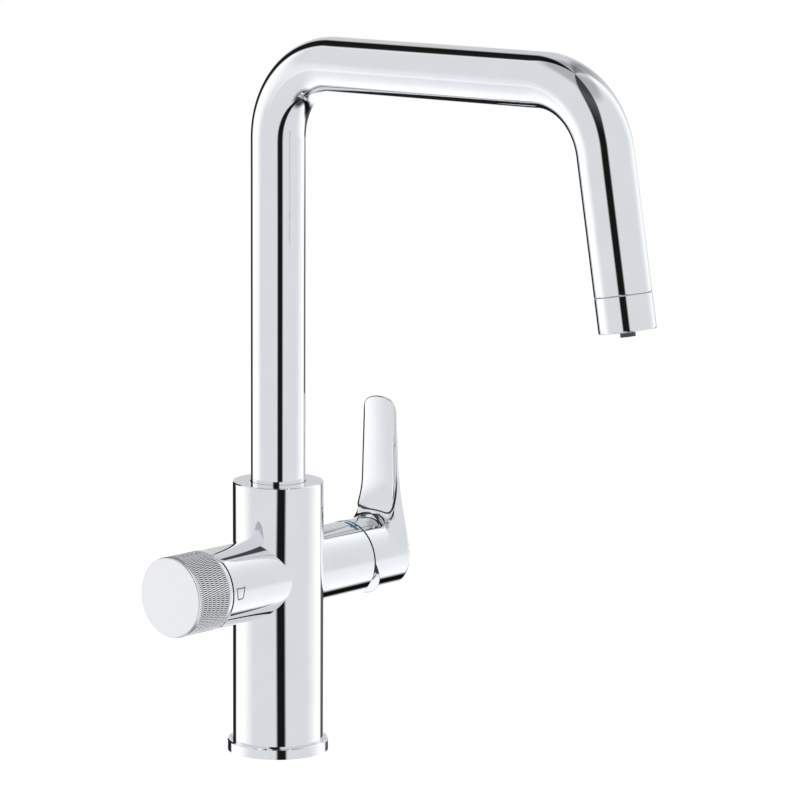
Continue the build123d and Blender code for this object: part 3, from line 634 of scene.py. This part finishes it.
def knurl_chrome_painted_shade():
    """Chrome with painted shade in the knurl's hollows: its colour darkens towards them, by
    distance from the cross axis, the same all round the sleeve."""
    material, tree, shader = new_material("knurl_chrome_painted_shade")
    shader.inputs["Metallic"].default_value = 1.0
    where = add(
        tree, "ShaderNodeVectorMath", {0: place(tree), 1: (0, 0, cross_height * mm)},
        operation="SUBTRACT",
    ).outputs[0]
    across = add(
        tree, "ShaderNodeVectorMath", {0: where, 1: (0, 1, 1)}, operation="MULTIPLY"
    ).outputs[0]
    out = add(tree, "ShaderNodeVectorMath", {0: across}, operation="LENGTH").outputs["Value"]
    crest = knob_radius * mm
    depth = ranged(tree, out, crest - hollow_from * mm, crest - crest_from * mm, 0.0, 1.0)
    grain = spread(tree, noise(tree, 700), -0.05, 0.05)
    depth = combine(tree, "ADD", depth, grain)
    # colour from near black in the hollows to chrome on the crests: painted shade
    colour = tint(tree, depth, hollow_shade_colour, crest_colour)
    tree.links.new(colour, shader.inputs["Base Color"])
    tree.links.new(spread(tree, noise(tree, 1200), 0.06, 0.12), shader.inputs["Roughness"])
    return material


# Spout: one bent tube, with the construction's line
tube_radius = 14.0
tube_wall = 1.5
tube_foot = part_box("spout_tube")[0][2] / mm
spout_top = 354.2
spout_reach = 203.0
bend_radius = 38.5
leg_lean = radians(10)
leg_end = 98.9


def spout_tube():
    """Wall carried along riser, bend, arm, bend and leg. Each bend is an arc that touches both
    of its runs; a ring stands square to the line at each step."""
    turning = (pi / 2, pi / 2 - leg_lean)
    first_cut = bend_radius
    second_cut = bend_radius * np.tan(turning[1] / 2)
    riser = np.linspace(tube_foot, spout_top - first_cut, 12)
    rise = np.column_stack((0 * riser, riser))
    first = np.linspace(0, turning[0], 72)[1:]
    rear = np.column_stack(
        (bend_radius * (1 - np.cos(first)), riser[-1] + bend_radius * np.sin(first))
    )
    second = np.linspace(0, turning[1], 66)
    middle = spout_reach - second_cut
    front = np.column_stack(
        (middle + bend_radius * np.sin(second), spout_top - bend_radius * (1 - np.cos(second)))
    )
    down = np.linspace(0, leg_end - second_cut, 10)[1:, None]
    down = np.insert(down, -1, down[-1] - 0.25, axis=0)
    leg = front[-1] + down * (sin(leg_lean), -cos(leg_lean))
    line = np.concatenate((rise, rear, front, leg))
    heading = np.concatenate(
        (0 * riser, first, pi / 2 + second, np.full(len(down), pi / 2 + turning[1]))
    )
    turn = np.linspace(0, 2 * pi, 128, endpoint=False)

    def skin(radius):
        """Rings of one radius, each square to the tube's line."""
        out = radius * np.cos(turn)
        forward = line[:, :1] - out * np.cos(heading)[:, None]
        height = line[:, 1:] + out * np.sin(heading)[:, None]
        side = radius * np.sin(turn) * np.ones((len(line), 1))
        return np.stack((side, -forward, height), -1)

    outer = skin(tube_radius)
    inner = skin(tube_radius - tube_wall)[::-1]
    grid = np.concatenate((outer, inner, outer[:1]))
    piece = tube_piece("bent_tube", grid, "spout", "polished_chrome", closed_ends=False)
    joined(piece)
    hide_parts("spout_tube")


# Marks on the barrels: thin inlays that follow the round, in millimetres and degrees
mixer_barrel_radius = 20.0
filter_barrel_radius = 20.4
glass_line = 0.6
inlay_top = 0.03
inlay_crown = 0.035
inlay_root = -0.1
inlay_section = (
    (1, inlay_root), (1, inlay_top), (0, inlay_crown), (-1, inlay_top), (-1, inlay_root),
)


def barrel_point(along, climb, radius):
    """Point on a barrel: along the cross axis, and climb degrees up from the front."""
    climb = np.radians(climb)
    return np.stack(
        np.broadcast_arrays(
            along, -radius * np.cos(climb), cross_height + radius * np.sin(climb)
        ),
        -1,
    )


def inlay(name, start, end, width, radius, finish):
    """Flat bar with rounded ends between two places on a barrel, a hair thick."""
    share = np.linspace(0, 1, 25)
    arc = np.array((1, radius * pi / 180))
    start, end = np.array(start) * arc, np.array(end) * arc
    run = (end - start) / np.hypot(*(end - start))
    square = np.array((-run[1], run[0]))
    length = np.hypot(*(end - start))
    reach = share * length
    inset = np.maximum(width / 2 - np.minimum(reach, length - reach), 0)
    half = np.sqrt(np.maximum((width / 2) ** 2 - inset**2, 1e-4))
    middle = start + reach[:, None] * run
    ring = []
    for side, lift in inlay_section:
        flat = middle + side * half[:, None] * square
        ring.append(barrel_point(flat[:, 0], flat[:, 1] / arc[1], radius + lift))
    grid = np.stack(ring, 1)
    return tube_piece(name, grid, "tap_body", finish)


def temperature_marks():
    """A red and a blue dash round the mixer barrel, and the short bar across the blue one."""
    radius = mixer_barrel_radius
    inlay("hot_mark", (49.6, 90), (49.6, 108), 2.8, radius, "red_enamel")
    inlay("cold_mark", (49.6, 57), (49.6, 86), 2.1, radius, "blue_enamel")
    inlay("cold_mark_bar", (47.0, 68), (52.2, 68), 1.9, radius, "blue_enamel")


def glass_mark():
    """Drinking glass with its water line, drawn in four thin bars."""
    corners = ((-52.1, 10.0), (-51.4, -7.2), (-47.8, -6.6), (-46.2, 10.6))
    bars = [(f"glass_side_{index}", *corners[index : index + 2]) for index in range(3)]
    for name, start, end in (*bars, ("glass_water_line", (-52.0, 8.6), (-46.5, 8.2))):
        inlay(name, start, end, glass_line, filter_barrel_radius, "grey_enamel")


# Studio: a bright room for the metal, with three dark upright cards that the chrome shows.
# Headings are in degrees round from the room's front, rises in degrees up from level
room_front = -136.0
front_level = 0.79
side_level = 1.19
back_level = 1.12
back_level_above = 0.68
back_starts, back_is_full = 128.0, 165.0
card_level = 0.012
card_level_above = 0.12
front_card_soft, left_card_soft, right_card_soft = 7.0, 9.0, 13.0
right_card_half = 13.5
ceiling_level = 0.6
ceiling_low, ceiling_high = 52.0, 66.0
below_level = 0.08
below_low, below_high = -76.0, -62.0
metal_light = (0.985, 0.995, 1.015, 1)
matt_light_level = 0.75
white = (1, 1, 1, 1)


def ranged(tree, value, low, high, first, last):
    """Value taken from low..high to first..last by an S curve, held at both ends."""
    return add(
        tree,
        "ShaderNodeMapRange",
        {"Value": value, "From Min": low, "From Max": high, "To Min": first, "To Max": last},
        interpolation_type="SMOOTHSTEP",
    ).outputs[0]


def combine(tree, operation, first, second=0.0):
    """One sum, product or other operation on two values."""
    return add(tree, "ShaderNodeMath", {0: first, 1: second}, operation=operation).outputs[0]


def clear_of_card(tree, heading, middle, half_width, soft, darkest):
    """1 away from an upright card and its darkest level on it, with an edge soft degrees
    wide."""
    away = combine(tree, "ABSOLUTE", combine(tree, "SUBTRACT", heading, middle))
    inner = combine(tree, "SUBTRACT", half_width, soft / 2)
    outer = combine(tree, "ADD", half_width, soft / 2)
    across = combine(tree, "SUBTRACT", outer, inner)
    share = combine(tree, "DIVIDE", combine(tree, "SUBTRACT", away, inner), across)
    return ranged(tree, share, 0.0, 1.0, darkest, 1.0)


def room_light(tree):
    """Level of the room seen in a direction: bright sides, greyer front, dark cards."""
    where = add(tree, "ShaderNodeTexCoord").outputs["Generated"]
    turned = add(
        tree,
        "ShaderNodeVectorRotate",
        {"Vector": where, "Angle": radians(-room_front)},
        rotation_type="Z_AXIS",
    ).outputs[0]
    part = add(tree, "ShaderNodeSeparateXYZ", {"Vector": turned})
    heading = combine(tree, "ARCTAN2", part.outputs["Y"], part.outputs["X"])
    heading = combine(tree, "MULTIPLY", heading, 180 / pi)
    rise = combine(tree, "MULTIPLY", combine(tree, "ARCSINE", part.outputs["Z"]), 180 / pi)

    # walls: the sides are brighter than the front, and each change moves with the rise
    left_start = ranged(tree, rise, -13.0, -8.5, 61.0, 72.0)
    left_start = combine(tree, "ADD", left_start, ranged(tree, rise, -19.0, -14.5, 13.0, 0.0))
    left_start = combine(tree, "ADD", left_start, ranged(tree, rise, -8.0, 40.0, 0.0, 46.0))
    left_end = ranged(tree, rise, -20.0, -14.5, 120.0, 107.0)
    left_end = combine(tree, "ADD", left_end, ranged(tree, rise, -8.0, 40.0, 0.0, 33.0))
    right_start = ranged(tree, rise, -12.0, 0.0, 71.0, 92.0)
    right_end = ranged(tree, rise, -12.0, 0.0, 124.0, 142.0)
    to_left = combine(tree, "MULTIPLY", heading, -1.0)
    left = ranged(tree, to_left, left_start, left_end, 0.0, side_level - front_level)
    right = ranged(tree, heading, right_start, right_end, 0.0, side_level - front_level)
    level = combine(tree, "ADD", combine(tree, "ADD", left, right), front_level)
    aside = combine(tree, "ABSOLUTE", heading)
    back_change = ranged(
        tree, rise, -4.0, 10.0, back_level - side_level, back_level_above - side_level
    )
    behind = ranged(tree, aside, back_starts, back_is_full, 0.0, back_change)
    level = combine(tree, "ADD", level, behind)

    # cards: middle and half width change with the rise, so that each stands a little askew
    front_middle = ranged(tree, rise, -7.0, 2.0, 6.8, -9.0)
    front_half = ranged(tree, rise, -7.0, 3.0, 11.0, 13.5)
    front_half = combine(tree, "ADD", front_half, ranged(tree, rise, 20.0, 60.0, 0.0, 10.0))
    front_dark = ranged(tree, rise, 20.0, 55.0, card_level, card_level_above)
    left_middle = ranged(tree, rise, -45.0, -15.0, -157.0, -148.5)
    left_half = ranged(tree, rise, -40.0, -15.0, 17.0, 14.5)
    left_half = combine(tree, "ADD", left_half, ranged(tree, rise, 20.0, 45.0, 0.0, 4.5))
    right_middle = ranged(tree, rise, -44.0, -12.0, 133.0, 149.0)
    right_low = ranged(tree, rise, -7.5, -3.5, 0.08, 0.8)
    right_lowest = ranged(tree, rise, -40.0, -16.0, 0.05, 1.0)
    right_low = combine(tree, "MULTIPLY", right_low, right_lowest)
    right_high = ranged(tree, rise, 18.0, 42.0, 1.0, 0.55)
    right_dark = combine(tree, "MULTIPLY", right_low, right_high)
    for card in (
        (front_middle, front_half, front_card_soft, front_dark),
        (left_middle, left_half, left_card_soft, card_level),
        (right_middle, right_card_half, right_card_soft, right_dark),
    ):
        level = combine(tree, "MULTIPLY", level, clear_of_card(tree, heading, *card))
    ceiling = ranged(tree, rise, ceiling_low, ceiling_high, 1.0, ceiling_level)
    below = ranged(tree, rise, below_low, below_high, below_level, 1.0)
    return combine(tree, "MULTIPLY", combine(tree, "MULTIPLY", level, ceiling), below)


def studio_world():
    """World that is white to the camera, and the card room to the metal."""
    world = bpy.data.worlds.new("studio")
    bpy.context.scene.world = world
    world.use_nodes = True
    tree = world.node_tree
    tree.nodes.clear()
    out = add(tree, "ShaderNodeOutputWorld")
    room = room_light(tree)
    metal = add(tree, "ShaderNodeBackground", {"Color": metal_light, "Strength": room})
    plain = add(tree, "ShaderNodeBackground", {"Color": white, "Strength": 1.0})
    soft = add(tree, "ShaderNodeBackground", {"Color": white, "Strength": matt_light_level})
    path = add(tree, "ShaderNodeLightPath")
    lit = add(
        tree,
        "ShaderNodeMixShader",
        {0: path.outputs["Is Glossy Ray"], 1: soft.outputs[0], 2: metal.outputs[0]},
    )
    seen = add(
        tree,
        "ShaderNodeMixShader",
        {0: path.outputs["Is Camera Ray"], 1: lit.outputs[0], 2: plain.outputs[0]},
    )
    tree.links.new(seen.outputs[0], out.inputs["Surface"])


floor_radius = 2.5
floor_sides = 96
floor_glow = 1.08
floor_glow_share = 0.85


def floor():
    """Pale round floor that keeps a faint shadow and is white to the camera."""
    turns = np.linspace(0, 2 * pi, floor_sides, endpoint=False)
    points = floor_radius * np.column_stack((np.cos(turns), np.sin(turns), 0 * turns))
    mesh = bpy.data.meshes.new("floor")
    mesh.from_pydata(points.tolist(), [], [list(range(floor_sides))])
    piece = bpy.data.objects.new("floor", mesh)
    bpy.context.collection.objects.link(piece)
    material, tree, shader = new_material("floor")
    shader.inputs["Roughness"].default_value = 0.9
    shader.inputs["Specular IOR Level"].default_value = 0.0
    tree.links.new(
        tint(tree, noise(tree, 6.0), (0.86, 0.86, 0.865), (0.9, 0.9, 0.905)),
        shader.inputs["Base Color"],
    )
    glow = add(tree, "ShaderNodeEmission", {"Color": white, "Strength": floor_glow})
    path = add(tree, "ShaderNodeLightPath")
    share = combine(tree, "MULTIPLY", path.outputs["Is Camera Ray"], floor_glow_share)
    mix = add(
        tree, "ShaderNodeMixShader", {0: share, 1: shader.outputs[0], 2: glow.outputs[0]}
    )
    tree.links.new(mix.outputs[0], tree.nodes["Material Output"].inputs["Surface"])
    mesh.materials.append(material)
    piece.visible_glossy = False


lamp_aim = (0, -0.08, 0.18)
lamp_size = 1.2


def lamp(name, where, power):
    """Soft square lamp that looks at the tap."""
    data = bpy.data.lights.new(name, "AREA")
    data.size = lamp_size
    data.energy = power
    thing = bpy.data.objects.new(name, data)
    aim = Vector(lamp_aim) - Vector(where)
    turn = aim.to_track_quat("-Z", "Y").to_matrix()
    thing.matrix_world = Matrix.Translation(where) @ turn.to_4x4()
    thing.visible_glossy = False
    bpy.context.collection.objects.link(thing)


dress_nodes()
lever_shell()
lever_face()
knob_sleeve()
spout_tube()
temperature_marks()
glass_mark()
studio_world()
floor()
lamp("key_lamp", (-1.2, -0.6, 1.6), 12)
lamp("fill_lamp", (0.9, -1.4, 1.1), 6)
studio_camera()
